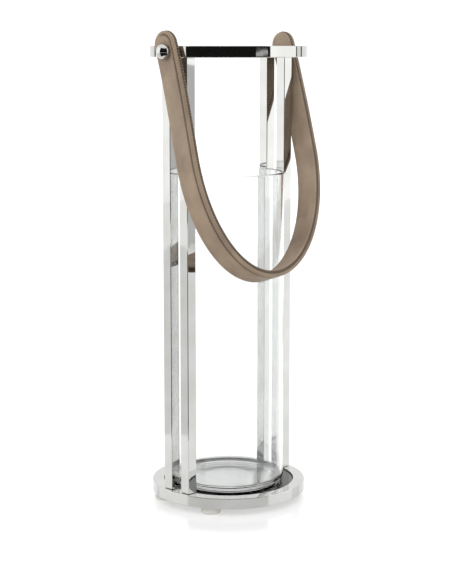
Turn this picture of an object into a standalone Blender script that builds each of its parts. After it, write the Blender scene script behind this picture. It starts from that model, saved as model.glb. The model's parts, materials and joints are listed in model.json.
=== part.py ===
"""Candle lantern: chromed rings on four square posts, a lift-out glass cylinder and a leather loop handle.

Metres, +Z up. The origin is the centre of the base's underside, on the lantern's axis. The handle turns
about an axis parallel to X through the top ring, and hangs towards -Y.
"""
import math

import bmesh
import bpy
from mathutils import Matrix, Vector

# Clearances
GAP = 0.0003                     # between pieces that touch
SCREW_PLAY = 0.0003              # between a shank and its hole, all round

# Frame
FRAME_HEIGHT = 0.4506            # underside of the base to the top of the top ring
RING_RADIUS = 0.078              # outside of both rings
RING_HEIGHT = 0.011
RING_CHAMFER = 0.0006
BASE_RIM = 0.0115                # width of the base's rim round the recess
BASE_WEB = 0.005                 # floor of the base under the recess
POST_SIDE = 0.011
POST_CHAMFER = 0.0006
POST_MARGIN = 0.0045             # post's outer face, in from the outside of the rings
POST_Y = 0.012                   # half the distance between the posts of a pair
TOP_RING_LIP = 0.0005            # top ring beyond the post's inner face

# Recessed base plate and feet
PLATE_RECESS = 0.0015            # plate face below the ring's top face
PLATE_CHAMFER = 0.0004
FOOT_RADIUS = 0.0098
FOOT_HEIGHT = 0.0065
FOOT_CHAMFER = 0.0006
FOOT_INSET = 0.011               # foot's centre, in from the outside of the base
FOOT_ANGLE = math.radians(30.0)  # from the handle's axis, in each quarter

# Post screws
SCREW_RADIUS = 0.0020
SCREW_HEAD_RADIUS = 0.0040
SCREW_HEAD_HEIGHT = 0.0022
SCREW_DRIVE_RADIUS = 0.0013
SCREW_DRIVE_DEPTH = 0.0014
SCREW_INSET = 0.0085             # screw's axis, in from the outside of the rings
SCREW_BITE = 0.0120              # length of shank inside the post
HOLE_END = 0.0020                # blind hole beyond the end of a shank

# Glass cylinder
GLASS_AIR = 0.0055               # between the glass and the top ring's bore
GLASS_WALL = 0.0030
GLASS_FLOOR = 0.0045
GLASS_RIM_DROP = 0.1130          # underside of the top ring down to the glass's rim
GLASS_FOOT_FILLET = 0.0065
GLASS_INNER_FILLET = 0.0040

# Leather handle, in the plane that it swings in
LEATHER_OUTER = 0.0024           # outer strap
LEATHER_CORE = 0.0016            # filler between the straps
LEATHER_LINING = 0.0024          # inner strap
STRAP_WIDTH = 0.0270
STRAP_CLEAR = 0.0004             # inner strap to the top ring
LOOP_SWELL = 0.0012              # how far each leg of the loop bows out
LOOP_SPRING = 0.1075             # from the pivot down to where the bend starts
LOOP_DROP = 0.2266               # from the pivot down to the lowest centre of the strap
LOOP_LEAN = -0.0195              # sideways lean of the lowest point, along X
LEAN_POWER = 1.5                 # how the lean grows with the depth
STRAP_EXTRA = 0.0070             # straight strap above the pivot, below its rounded tip
REST_CLEAR = 0.0027              # hanging loop to the glass, on the lantern's centre line

# Handle screws and their bushes
KNOB_RADIUS = 0.0075
KNOB_SKIRT = 0.0022
KNOB_HEIGHT = 0.0088
KNOB_CHAMFER = 0.0005
KNOB_SHANK_RADIUS = 0.0030
KNOB_BITE = 0.0085               # length of shank inside the top ring
BUSH_WALL = 0.0012

# Facets
RING_STEPS = 96
GLASS_STEPS = 72
SCREW_STEPS = 16
KNOB_STEPS = 32
ARC_STEPS = 5                    # facets in a fillet
DOME_STEPS = 6
TIP_STEPS = 4                    # in a quarter of the strap's rounded tip
LEG_STEPS = 8
BEND_STEPS = 28
SMOOTH_ANGLE = math.radians(32.0)

# Worked out from the sizes above
PIVOT_Z = FRAME_HEIGHT - RING_HEIGHT / 2
TOP_RING_BOTTOM = FRAME_HEIGHT - RING_HEIGHT
PLATE_TOP = RING_HEIGHT - PLATE_RECESS
BASE_BORE_RADIUS = RING_RADIUS - BASE_RIM
POST_X = RING_RADIUS - POST_MARGIN - POST_SIDE / 2
TOP_BORE_RADIUS = RING_RADIUS - POST_MARGIN - POST_SIDE - TOP_RING_LIP
FOOT_CIRCLE = RING_RADIUS - FOOT_INSET
GLASS_BOTTOM = PLATE_TOP + GAP
GLASS_RIM = TOP_RING_BOTTOM - GLASS_RIM_DROP
GLASS_RADIUS = TOP_BORE_RADIUS - GLASS_AIR
STRAP_THICKNESS = LEATHER_OUTER + LEATHER_CORE + LEATHER_LINING + 2 * GAP
STRAP_HALF = STRAP_THICKNESS / 2
STRAP_HALF_WIDTH = STRAP_WIDTH / 2
STRAP_TIP = STRAP_HALF_WIDTH + STRAP_EXTRA
LOOP_PIVOT_X = RING_RADIUS + STRAP_CLEAR + STRAP_HALF
LOOP_HALF_SPAN = LOOP_PIVOT_X + LOOP_SWELL
LOOP_INNER_DROP = LOOP_DROP - STRAP_HALF
HANG_ANGLE = (math.asin((GLASS_RADIUS + REST_CLEAR) / math.hypot(LOOP_INNER_DROP, STRAP_HALF_WIDTH))
              + math.atan2(STRAP_HALF_WIDTH, LOOP_INNER_DROP))
SCREW_X = RING_RADIUS - SCREW_INSET
HOLE_RADIUS = SCREW_RADIUS + SCREW_PLAY
HEAD_HOLE_RADIUS = SCREW_HEAD_RADIUS + SCREW_PLAY
BUSH_BORE = KNOB_SHANK_RADIUS + SCREW_PLAY
STRAP_HOLE = BUSH_BORE + BUSH_WALL + SCREW_PLAY
CUTTER_RUN = 0.001               # cutters run past a face by this much


def clear_scene():
    """Removes every object that the file starts with."""
    for item in list(bpy.data.objects):
        bpy.data.objects.remove(item, do_unlink=True)


def material(name, colour, roughness, metallic, transmission=0.0):
    """Returns a Principled material."""
    mat = bpy.data.materials.new(name)
    mat.use_nodes = True
    shader = mat.node_tree.nodes["Principled BSDF"]
    shader.inputs["Base Color"].default_value = (*colour, 1.0)
    shader.inputs["Roughness"].default_value = roughness
    shader.inputs["Metallic"].default_value = metallic
    shader.inputs["Transmission Weight"].default_value = transmission
    return mat


def add_object(name, bm, mat, parent=None):
    """Turns a bmesh into a named object with one material."""
    bmesh.ops.recalc_face_normals(bm, faces=bm.faces)
    mesh = bpy.data.meshes.new(name)
    bm.to_mesh(mesh)
    bm.free()
    item = bpy.data.objects.new(name, mesh)
    bpy.context.scene.collection.objects.link(item)
    if mat:
        mesh.materials.append(mat)
    item.parent = parent
    return item


def add_empty(name, location, rotation=(0.0, 0.0, 0.0)):
    """Adds an empty that carries a moving group."""
    item = bpy.data.objects.new(name, None)
    item.location = location
    item.rotation_euler = rotation
    bpy.context.scene.collection.objects.link(item)
    return item


def smooth(item):
    """Shades a round piece smooth and keeps its edges sharp."""
    item.data.shade_smooth()
    item.data.set_sharp_from_angle(angle=SMOOTH_ANGLE)


def turned(name, outline, steps, mat, parent=None):
    """Spins an outline of (radius, height) points about Z.

    An outline that starts and ends on the axis makes a solid piece. Any other outline is closed on itself
    and makes a ring.
    """
    bm = bmesh.new()
    points = [bm.verts.new((radius, 0.0, height)) for radius, height in outline]
    edges = [bm.edges.new(pair) for pair in zip(points, points[1:])]
    if outline[0][0] > 0.0:
        edges.append(bm.edges.new((points[-1], points[0])))
    bmesh.ops.spin(bm, geom=points + edges, cent=(0, 0, 0), axis=(0, 0, 1), angle=math.tau, steps=steps,
                   use_merge=True, use_duplicate=False)
    bmesh.ops.remove_doubles(bm, verts=bm.verts, dist=1e-6)
    item = add_object(name, bm, mat, parent)
    smooth(item)
    return item


def arc(centre, radius, start, end):
    """Points of an arc of an outline, from one angle to the other, both included."""
    turns = [start + (end - start) * step / ARC_STEPS for step in range(ARC_STEPS + 1)]
    return [(centre[0] + radius * math.cos(turn), centre[1] + radius * math.sin(turn)) for turn in turns]


def box(name, size, centre, mat):
    """A rectangular bar with its size in its mesh."""
    bm = bmesh.new()
    bmesh.ops.create_cube(bm, size=1.0, matrix=Matrix.Diagonal((*size, 1.0)))
    item = add_object(name, bm, mat)
    item.location = centre
    return item


def chamfer(item, width):
    """Chamfers every edge of a bar."""
    bevel = item.modifiers.new("chamfer", "BEVEL")
    bevel.width = width
    bevel.segments = 1
    bevel.limit_method = "ANGLE"


def cutter(item):
    """Makes an object a cutter, which is not a piece of the lantern."""
    item.hide_render = True
    item.display_type = "WIRE"
    return item


def cut(item, tool):
    """Cuts one object with another."""
    boolean = item.modifiers.new("cut_" + tool.name, "BOOLEAN")
    boolean.operation = "DIFFERENCE"
    boolean.solver = "EXACT"
    boolean.object = tool


def post_places():
    """Name, and the side of each post along X and Y."""
    return [("front_left", -1, -1), ("back_left", -1, 1), ("front_right", 1, -1), ("back_right", 1, 1)]


def screw_outline():
    """Countersunk post screw with its head's face at height 0 and its shank running up."""
    end = RING_HEIGHT + SCREW_BITE
    return [
        (0.0, SCREW_DRIVE_DEPTH),
        (SCREW_DRIVE_RADIUS, SCREW_DRIVE_DEPTH),
        (SCREW_DRIVE_RADIUS, 0.0),
        (SCREW_HEAD_RADIUS, 0.0),
        (SCREW_RADIUS, SCREW_HEAD_HEIGHT),
        (SCREW_RADIUS, end - SCREW_RADIUS / 2),
        (SCREW_RADIUS / 2, end),
        (0.0, end),
    ]


def screw_hole_outline():
    """Countersunk hole for a post screw, through a ring and into the post."""
    end = RING_HEIGHT + SCREW_BITE + HOLE_END
    return [
        (0.0, -CUTTER_RUN),
        (HEAD_HOLE_RADIUS, -CUTTER_RUN),
        (HEAD_HOLE_RADIUS, 0.0),
        (HOLE_RADIUS, SCREW_HEAD_HEIGHT + SCREW_PLAY),
        (HOLE_RADIUS, end),
        (0.0, end),
    ]


def build_base(metal, lacquer, rubber):
    """Turned base with its recess, the plate in the recess and the feet."""
    base = turned("base_ring", [
        (0.0, 0.0),
        (RING_RADIUS - RING_CHAMFER, 0.0),
        (RING_RADIUS, RING_CHAMFER),
        (RING_RADIUS, RING_HEIGHT - RING_CHAMFER),
        (RING_RADIUS - RING_CHAMFER, RING_HEIGHT),
        (BASE_BORE_RADIUS, RING_HEIGHT),
        (BASE_BORE_RADIUS, BASE_WEB),
        (0.0, BASE_WEB),
    ], RING_STEPS, metal)
    plate_radius = BASE_BORE_RADIUS - GAP
    turned("base_plate", [
        (0.0, BASE_WEB + GAP),
        (plate_radius, BASE_WEB + GAP),
        (plate_radius, PLATE_TOP - PLATE_CHAMFER),
        (plate_radius - PLATE_CHAMFER, PLATE_TOP),
        (0.0, PLATE_TOP),
    ], RING_STEPS, lacquer)
    for name, side_x, side_y in post_places():
        foot = turned("foot_" + name, [
            (0.0, -FOOT_HEIGHT),
            (FOOT_RADIUS - FOOT_CHAMFER, -FOOT_HEIGHT),
            (FOOT_RADIUS, FOOT_CHAMFER - FOOT_HEIGHT),
            (FOOT_RADIUS, -GAP),
            (0.0, -GAP),
        ], KNOB_STEPS, rubber)
        foot.location.x = side_x * FOOT_CIRCLE * math.cos(FOOT_ANGLE)
        foot.location.y = side_y * FOOT_CIRCLE * math.sin(FOOT_ANGLE)
    return base


def build_top_ring(metal):
    """Top ring, which the posts stand under and the handle screws go into."""
    return turned("top_ring", [
        (TOP_BORE_RADIUS + RING_CHAMFER, TOP_RING_BOTTOM),
        (RING_RADIUS - RING_CHAMFER, TOP_RING_BOTTOM),
        (RING_RADIUS, TOP_RING_BOTTOM + RING_CHAMFER),
        (RING_RADIUS, FRAME_HEIGHT - RING_CHAMFER),
        (RING_RADIUS - RING_CHAMFER, FRAME_HEIGHT),
        (TOP_BORE_RADIUS + RING_CHAMFER, FRAME_HEIGHT),
        (TOP_BORE_RADIUS, FRAME_HEIGHT - RING_CHAMFER),
        (TOP_BORE_RADIUS, TOP_RING_BOTTOM + RING_CHAMFER),
    ], RING_STEPS, metal)


def build_posts(metal, steel, base, top_ring):
    """Four square posts, each held by one countersunk screw at either end."""
    post_length = TOP_RING_BOTTOM - RING_HEIGHT - 2 * GAP
    for name, side_x, side_y in post_places():
        post = box("post_" + name, (POST_SIDE, POST_SIDE, post_length),
                   (side_x * POST_X, side_y * POST_Y, (TOP_RING_BOTTOM + RING_HEIGHT) / 2), metal)
        chamfer(post, POST_CHAMFER)
        for end, ring, height, turn in (("base", base, 0.0, 0.0), ("top", top_ring, FRAME_HEIGHT, math.pi)):
            place = (side_x * SCREW_X, side_y * POST_Y, height)
            screw = turned(end + "_screw_" + name, screw_outline(), SCREW_STEPS, steel)
            hole = cutter(turned(end + "_hole_" + name, screw_hole_outline(), SCREW_STEPS, None))
            for item in (screw, hole):
                item.location = place
                item.rotation_euler.x = turn
            cut(ring, hole)
            cut(post, hole)


def build_glass(glass, parent):
    """Closed-bottom glass cylinder, turned about the lantern's axis."""
    inner = GLASS_RADIUS - GLASS_WALL
    floor = GLASS_BOTTOM + GLASS_FLOOR
    foot = arc((GLASS_RADIUS - GLASS_FOOT_FILLET, GLASS_BOTTOM + GLASS_FOOT_FILLET), GLASS_FOOT_FILLET,
               -math.pi / 2, 0.0)
    lip_radius = GLASS_WALL / 2
    lip = arc((GLASS_RADIUS - lip_radius, GLASS_RIM - lip_radius), lip_radius, 0.0, math.pi)
    corner = arc((inner - GLASS_INNER_FILLET, floor + GLASS_INNER_FILLET), GLASS_INNER_FILLET,
                 0.0, -math.pi / 2)
    outline = [(0.0, GLASS_BOTTOM), *foot, *lip, *corner, (0.0, floor)]
    turned("glass_cylinder", outline, GLASS_STEPS, glass, parent)


def loop_stations():
    """Centre, outward normal and half width of the strap, from one tip round to the other.

    Each leg runs down from its tip, swells to the widest span, and the bend below it is half an ellipse.
    The lean grows with a power of the distance below the pivot.
    """
    leg = []
    for step in range(1, TIP_STEPS + 1):
        rounding = math.pi / 2 * step / TIP_STEPS
        leg.append((LOOP_PIVOT_X, STRAP_HALF_WIDTH * (1 - math.cos(rounding)) - STRAP_TIP,
                    STRAP_HALF_WIDTH * math.sin(rounding)))
    leg.append((LOOP_PIVOT_X, 0.0, STRAP_HALF_WIDTH))
    for step in range(1, LEG_STEPS + 1):
        share = step / LEG_STEPS
        swell = (1 - math.cos(math.pi * share)) / 2
        leg.append((LOOP_PIVOT_X + LOOP_SWELL * swell, LOOP_SPRING * share, STRAP_HALF_WIDTH))
    bend = []
    for step in range(1, BEND_STEPS):
        turn = math.pi * step / BEND_STEPS
        bend.append((-LOOP_HALF_SPAN * math.cos(turn),
                     LOOP_SPRING + (LOOP_DROP - LOOP_SPRING) * math.sin(turn), STRAP_HALF_WIDTH))
    left = [(-x, depth, width) for x, depth, width in leg]
    route = left + bend + leg[::-1]
    centres = []
    for x, depth, _ in route:
        lean = LOOP_LEAN * (max(depth, 0.0) / LOOP_DROP) ** LEAN_POWER
        centres.append(Vector((x + lean, 0.0, -depth)))
    stations = []
    last = len(route) - 1
    for index, centre in enumerate(centres):
        along = (centres[min(index + 1, last)] - centres[max(index - 1, 0)]).normalized()
        stations.append((centre, Vector((along.z, 0.0, -along.x)), route[index][2]))
    return stations


def strap_layer(name, inside, outside, mat, parent):
    """One layer of the strap between two distances from its centre line."""
    bm = bmesh.new()
    loops = []
    for centre, normal, half_width in loop_stations():
        corners = [(inside, -half_width), (inside, half_width), (outside, half_width), (outside, -half_width)]
        loops.append([bm.verts.new(centre + normal * depth + Vector((0.0, across, 0.0)))
                      for depth, across in corners])
    for first, second in zip(loops, loops[1:]):
        for corner in range(4):
            following = (corner + 1) % 4
            bm.faces.new((first[corner], first[following], second[following], second[corner]))
    bm.faces.new(loops[0])
    bm.faces.new(loops[-1])
    layer = add_object(name, bm, mat, parent)
    smooth(layer)
    return layer


def build_handle(leather, filler, metal, brass, top_ring, parent):
    """Layered leather loop, its two bushes, and the two domed screws that it turns on."""
    inner_face = -STRAP_HALF
    core_face = inner_face + LEATHER_LINING + GAP
    outer_face = core_face + LEATHER_CORE + GAP
    layers = [
        strap_layer("strap_lining", inner_face, inner_face + LEATHER_LINING, leather, parent),
        strap_layer("strap_core", core_face, core_face + LEATHER_CORE, filler, parent),
        strap_layer("strap_outer", outer_face, STRAP_HALF, leather, parent),
    ]
    dome_rise = KNOB_HEIGHT - KNOB_SKIRT
    dome = [(KNOB_RADIUS * math.cos(turn), KNOB_SKIRT + dome_rise * math.sin(turn))
            for turn in (math.pi / 2 * step / DOME_STEPS for step in range(DOME_STEPS))]
    shank_end = -(STRAP_THICKNESS + STRAP_CLEAR + KNOB_BITE)
    knob_outline = [
        (0.0, shank_end),
        (KNOB_SHANK_RADIUS - KNOB_CHAMFER, shank_end),
        (KNOB_SHANK_RADIUS, shank_end + KNOB_CHAMFER),
        (KNOB_SHANK_RADIUS, GAP),
        (KNOB_RADIUS - KNOB_CHAMFER, GAP),
        (KNOB_RADIUS, GAP + KNOB_CHAMFER),
        *dome,
        (0.0, KNOB_HEIGHT),
    ]
    bush_outline = [(BUSH_BORE, -STRAP_HALF), (BUSH_BORE + BUSH_WALL, -STRAP_HALF),
                    (BUSH_BORE + BUSH_WALL, STRAP_HALF), (BUSH_BORE, STRAP_HALF)]
    ring_hole_outline = [(0.0, -KNOB_BITE - HOLE_END), (BUSH_BORE, -KNOB_BITE - HOLE_END),
                         (BUSH_BORE, CUTTER_RUN), (0.0, CUTTER_RUN)]
    strap_hole_outline = [(0.0, -STRAP_THICKNESS), (STRAP_HOLE, -STRAP_THICKNESS),
                          (STRAP_HOLE, STRAP_THICKNESS), (0.0, STRAP_THICKNESS)]
    for name, side in (("left", -1), ("right", 1)):
        outwards = (0.0, side * math.pi / 2, 0.0)
        knob = turned("handle_screw_" + name, knob_outline, KNOB_STEPS, metal)
        knob.location = (side * (LOOP_PIVOT_X + STRAP_HALF), 0.0, PIVOT_Z)
        knob.rotation_euler = outwards
        ring_hole = cutter(turned("ring_hole_" + name, ring_hole_outline, KNOB_STEPS, None))
        ring_hole.location = (side * RING_RADIUS, 0.0, PIVOT_Z)
        ring_hole.rotation_euler = outwards
        cut(top_ring, ring_hole)
        bush = turned("handle_bush_" + name, bush_outline, KNOB_STEPS, brass, parent)
        strap_hole = cutter(turned("strap_hole_" + name, strap_hole_outline, KNOB_STEPS, None, parent))
        for item in (bush, strap_hole):
            item.location = (side * LOOP_PIVOT_X, 0.0, 0.0)
            item.rotation_euler = outwards
        for layer in layers:
            cut(layer, strap_hole)


def main():
    """Builds the whole lantern."""
    clear_scene()
    metal = material("polished_chrome", (0.86, 0.86, 0.87), 0.06, 1.0)
    steel = material("zinc_plated_steel", (0.62, 0.62, 0.60), 0.32, 1.0)
    brass = material("brass", (0.78, 0.60, 0.30), 0.25, 1.0)
    lacquer = material("black_lacquer", (0.015, 0.014, 0.013), 0.12, 0.0)
    rubber = material("clear_silicone", (0.80, 0.79, 0.75), 0.45, 0.0)
    glass = material("clear_glass", (0.95, 0.97, 0.96), 0.02, 0.0, transmission=1.0)
    leather = material("taupe_leather", (0.30, 0.22, 0.16), 0.55, 0.0)
    filler = material("leather_board", (0.12, 0.08, 0.06), 0.80, 0.0)
    base = build_base(metal, lacquer, rubber)
    top_ring = build_top_ring(metal)
    build_posts(metal, steel, base, top_ring)
    glass_group = add_empty("glass_lift", (0.0, 0.0, 0.0))
    build_glass(glass, glass_group)
    handle_group = add_empty("handle_swing", (0.0, 0.0, PIVOT_Z), (-HANG_ANGLE, 0.0, 0.0))
    build_handle(leather, filler, metal, brass, top_ring, handle_group)
    bpy.context.view_layer.update()


main()
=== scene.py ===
"""Candle lantern: polished rings on square posts, a lift-out glass and a stitched leather loop handle.

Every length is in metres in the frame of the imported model: +Z up, the handle's axis along X, and the handle
hanging towards -Y. A surface is a grid of points worked out from two parameters, and each class below makes
one sub-assembly and dresses it.
"""
from __future__ import annotations

import json
import logging
import math
from dataclasses import dataclass, field
from enum import Enum
from typing import Any

import bmesh
import bpy
import numpy as np
from mathutils import Matrix, Vector


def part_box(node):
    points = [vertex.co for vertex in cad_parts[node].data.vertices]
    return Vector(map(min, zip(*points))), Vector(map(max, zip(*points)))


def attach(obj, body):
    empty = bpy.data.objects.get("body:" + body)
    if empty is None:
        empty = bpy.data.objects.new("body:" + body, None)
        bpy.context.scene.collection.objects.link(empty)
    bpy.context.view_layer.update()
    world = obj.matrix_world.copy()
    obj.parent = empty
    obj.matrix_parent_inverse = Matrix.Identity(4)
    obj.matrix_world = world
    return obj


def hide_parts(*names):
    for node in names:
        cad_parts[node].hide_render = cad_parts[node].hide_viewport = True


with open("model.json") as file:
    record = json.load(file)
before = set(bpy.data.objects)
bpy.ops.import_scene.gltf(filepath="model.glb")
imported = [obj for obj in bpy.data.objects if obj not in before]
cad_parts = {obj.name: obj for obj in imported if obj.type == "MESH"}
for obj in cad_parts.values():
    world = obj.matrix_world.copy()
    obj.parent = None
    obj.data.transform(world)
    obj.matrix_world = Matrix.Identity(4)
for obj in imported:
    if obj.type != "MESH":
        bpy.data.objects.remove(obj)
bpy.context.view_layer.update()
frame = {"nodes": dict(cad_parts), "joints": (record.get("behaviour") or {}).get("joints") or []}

LOG = logging.getLogger("lantern")
MM = 0.001
SHADER = "Principled BSDF"         # the surface shader of every material
WHITE = (1.0, 1.0, 1.0, 1.0)
SMOOTH_ANGLE = math.radians(35.0)
SIDES = (("left", -1.0), ("right", 1.0))
CORNERS = ("front_left", "back_left", "front_right", "back_right")


class Body(str, Enum):
    """The moving bodies of the model."""

    FRAME = "frame"
    HANDLE = "handle"
    GLASS = "glass"


class Slot(str, Enum):
    """The record's material slots."""

    CHROME = "chrome_frame"
    KNOB = "chrome_knob"
    PLATE = "black_plate"
    PAD = "clear_pad"
    SCREW = "plated_screw"
    GLASS = "clear_glass"
    LEATHER = "leather"


# ---- colour and node helpers


def linear(code: str) -> tuple[float, float, float, float]:
    """Turns an sRGB hex colour to linear light.

    Args:
        code: six hex digits after a #.

    Returns:
        Red, green, blue and an alpha of 1.
    """
    parts = np.array([int(code[i:i + 2], 16) for i in (1, 3, 5)]) / 255.0
    light = np.where(parts <= 0.04045, parts / 12.92, ((parts + 0.055) / 1.055) ** 2.4)
    return (float(light[0]), float(light[1]), float(light[2]), 1.0)


def first_output(node: bpy.types.Node) -> bpy.types.NodeSocket:
    """Returns a node's first usable output."""
    return next(output for output in node.outputs if output.enabled)


def add_node(tree: bpy.types.NodeTree, kind: str, values: dict[str | int, Any] | None = None,
             links: dict[str | int, Any] | None = None, into: str | None = None,
             **settings: Any) -> bpy.types.Node:
    """Adds one shader node with its socket values, links and settings.

    Args:
        tree: the node tree.
        kind: the node's type name, without the part that all shader nodes share.
        values: input socket name or number to a plain value.
        links: input socket name or number to the output that feeds it, or to a node for its first output.
        into: input of the surface shader that the node's first output feeds.
        settings: attributes of the node.

    Returns:
        The new node.
    """
    node = tree.nodes.new("ShaderNode" + kind)
    for name, value in settings.items():
        setattr(node, name, value)
    for name, value in (values or {}).items():
        node.inputs[name].default_value = value
    for name, source in (links or {}).items():
        output = first_output(source) if isinstance(source, bpy.types.Node) else source
        tree.links.new(output, node.inputs[name])
    if into:
        tree.links.new(first_output(node), tree.nodes[SHADER].inputs[into])
    return node


def set_shader(tree: bpy.types.NodeTree, values: dict[str, Any]) -> None:
    """Sets inputs of a material's surface shader to plain values."""
    for name, value in values.items():
        tree.nodes[SHADER].inputs[name].default_value = value


def set_ramp(node: bpy.types.Node, stops: list[tuple[float, tuple[float, float, float, float]]]) -> None:
    """Sets the two stops of a colour ramp, each a position and a linear colour, from low to high."""
    for element, (place, colour) in zip(node.color_ramp.elements, stops):
        element.position = place
        element.color = colour


# ---- finishes


@dataclass(frozen=True)
class Finish:
    """A surface finish. Each subclass adds the pattern that its making leaves."""

    name: str
    colour: str
    roughness: float
    metallic: float = 0.0

    def material(self) -> bpy.types.Material:
        """Builds the material, or returns it when it has been built before."""
        made = bpy.data.materials.get(self.name)
        if made:
            return made
        made = bpy.data.materials.new(self.name)
        made.use_nodes = True
        tree = made.node_tree
        set_shader(tree, {"Base Color": linear(self.colour), "Roughness": self.roughness,
                          "Metallic": self.metallic})
        self.pattern(tree)
        return made

    def pattern(self, tree: bpy.types.NodeTree) -> None:
        """Adds the finish's own nodes; the plain finish has none."""

    def place(self, tree: bpy.types.NodeTree) -> bpy.types.NodeSocket:
        """Returns the piece's own coordinates, in metres."""
        return add_node(tree, "TexCoord").outputs["Object"]


@dataclass(frozen=True)
class PolishedChrome(Finish):
    """Chromium plate over buffed steel: a mirror with a faint roll in it and hairline wiping marks.

    The marks are drawn coarser than real hairlines, so that they still break up the gloss from afar.
    """

    low_tint: str = "#c0c0bd"
    wave_mm: float = 22.0
    wave_depth: float = 0.07
    scratch_mm: float = 1.1

    def pattern(self, tree: bpy.types.NodeTree) -> None:
        """The buffing leaves long shallow waves, and wiping leaves fine marks in the gloss."""
        place = self.place(tree)
        wave = add_node(tree, "TexNoise", {"Scale": 1.0 / (self.wave_mm * MM), "Detail": 1.0},
                        {"Vector": place})
        stretched = add_node(tree, "Mapping", {"Scale": (1.0, 1.0, 0.06)}, {"Vector": place})
        marks = add_node(tree, "TexNoise",
                         {"Scale": 1.0 / (self.scratch_mm * MM), "Detail": 4.0, "Roughness": 0.7},
                         {"Vector": stretched})
        add_node(tree, "MapRange",
                 {"From Min": 0.35, "From Max": 0.8, "To Min": self.roughness * 0.6,
                  "To Max": self.roughness * 1.9},
                 {"Value": marks}, "Roughness")
        tint = add_node(tree, "ValToRGB", None, {"Fac": wave}, "Base Color")
        set_ramp(tint, [(0.3, linear(self.low_tint)), (0.7, linear(self.colour))])
        add_node(tree, "Bump", {"Strength": self.wave_depth, "Distance": 0.0012}, {"Height": wave}, "Normal")


@dataclass(frozen=True)
class TurnedMetal(Finish):
    """Machined metal: fine uneven tool marks, drawn coarser than the real feed, and a few duller patches."""

    mark_mm: float = 0.35
    cloud_mm: float = 4.545

    def pattern(self, tree: bpy.types.NodeTree) -> None:
        """The tool leaves a fine uneven thread of light, and plating leaves cloudy patches."""
        place = self.place(tree)
        marks = add_node(tree, "TexNoise", {"Scale": 1.0 / (self.mark_mm * MM), "Detail": 3.0},
                         {"Vector": place})
        clouds = add_node(tree, "TexNoise", {"Scale": 1.0 / (self.cloud_mm * MM), "Detail": 3.0},
                          {"Vector": place})
        add_node(tree, "MapRange", {"To Min": self.roughness * 0.7, "To Max": self.roughness * 1.4},
                 {"Value": clouds}, "Roughness")
        add_node(tree, "Bump", {"Strength": 0.25, "Distance": 0.00005}, {"Height": marks}, "Normal")


@dataclass(frozen=True)
class Leather(Finish):
    """Vegetable-tanned hide with a waxed taupe finish: pores, long growth streaks and a burnished edge.

    The pores are drawn coarser than real ones, which are too fine to show at arm's length.
    """

    dark: str = "#6f5f50"
    # Colour of the burnished edges, also painted into the groove as shade.
    edge: str = "#4c4034"
    pore_mm: float = 0.85
    crease_mm: float = 5.0
    cloud_mm: float = 26.32
    streak_mm: tuple[float, float] = (45.45, 6.667)

    def pattern(self, tree: bpy.types.NodeTree) -> None:
        """Streaks follow the hide along the strap, pores are small cells, wax darkens the edges, and painted
        shade the groove.
        """
        place = self.place(tree)
        along = add_node(tree, "UVMap", uv_map="UVMap")
        streak_scale = (*(1.0 / (length * MM) for length in self.streak_mm), 1.0)
        streak_space = add_node(tree, "Mapping", {"Scale": streak_scale}, {"Vector": along})
        streaks = add_node(tree, "TexNoise", {"Scale": 1.0, "Detail": 5.0, "Roughness": 0.62},
                           {"Vector": streak_space})
        cloud = add_node(tree, "TexNoise", {"Scale": 1.0 / (self.cloud_mm * MM), "Detail": 4.0},
                         {"Vector": place})
        mixed = add_node(tree, "Math", {1: 0.3}, {0: streaks, 2: cloud}, operation="MULTIPLY_ADD")
        tone = add_node(tree, "ValToRGB", None, {"Fac": mixed})
        set_ramp(tone, [(0.38, linear(self.dark)), (0.86, linear(self.colour))])
        pores = add_node(tree, "TexVoronoi", {"Scale": 1.0 / (self.pore_mm * MM), "Smoothness": 0.6},
                         {"Vector": place}, feature="SMOOTH_F1").outputs["Distance"]
        pits = add_node(tree, "MapRange", {"From Max": 0.55, "To Min": 0.80, "To Max": 1.04},
                        {"Value": pores})
        pitted = add_node(tree, "Mix", {"Factor": 0.6}, {6: tone, 7: pits}, data_type="RGBA",
                          blend_type="MULTIPLY")
        # The burnish mask holds the burnished edges and a painted shade in the groove.
        edge_burnish_and_groove_shade = add_node(tree, "Attribute", attribute_name="burnish").outputs["Fac"]
        add_node(tree, "Mix", {7: linear(self.edge)}, {0: edge_burnish_and_groove_shade, 6: pitted}, "Base Color", data_type="RGBA")
        add_node(tree, "MapRange", {"To Min": self.roughness * 1.15, "To Max": self.roughness * 0.85},
                 {"Value": cloud}, "Roughness")
        creases = add_node(tree, "TexNoise",
                           {"Scale": 1.0 / (self.crease_mm * MM), "Detail": 5.0, "Roughness": 0.65},
                           {"Vector": place})
        grain = add_node(tree, "Bump", {"Strength": 0.55, "Distance": 0.00035}, {"Height": pores})
        add_node(tree, "Bump", {"Strength": 0.35, "Distance": 0.0012}, {"Height": creases, "Normal": grain},
                 "Normal")
        set_shader(tree, {"Specular IOR Level": 0.38, "Sheen Weight": 0.12, "Sheen Roughness": 0.45})


@dataclass(frozen=True)
class WaxedThread(Finish):
    """Twisted linen thread drawn through wax: fine slanting plies with a soft shine.

    The plies are drawn a little coarser than the real twist.
    """

    # Colour painted into the valleys between the plies: painted shade.
    dark: str = "#5b4d3f"
    ply_mm: float = 0.5

    def pattern(self, tree: bpy.types.NodeTree) -> None:
        """The plies show as slanting ridges, and painted shade darkens the valleys between them."""
        slanted = add_node(tree, "Mapping", {"Rotation": (0.6, 0.5, 0.4)}, {"Vector": self.place(tree)})
        plies = add_node(tree, "TexWave",
                         {"Scale": 0.3 / (self.ply_mm * MM), "Distortion": 1.5, "Detail": 1.0},
                         {"Vector": slanted}).outputs["Fac"]
        # Painted shade: the ridges that drive the bump also darken the colour in their valleys.
        tone = add_node(tree, "ValToRGB", None, {"Fac": plies}, "Base Color")
        set_ramp(tone, [(0.1, linear(self.dark)), (0.9, linear(self.colour))])
        add_node(tree, "Bump", {"Strength": 0.5, "Distance": 0.0001}, {"Height": plies}, "Normal")


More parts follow.
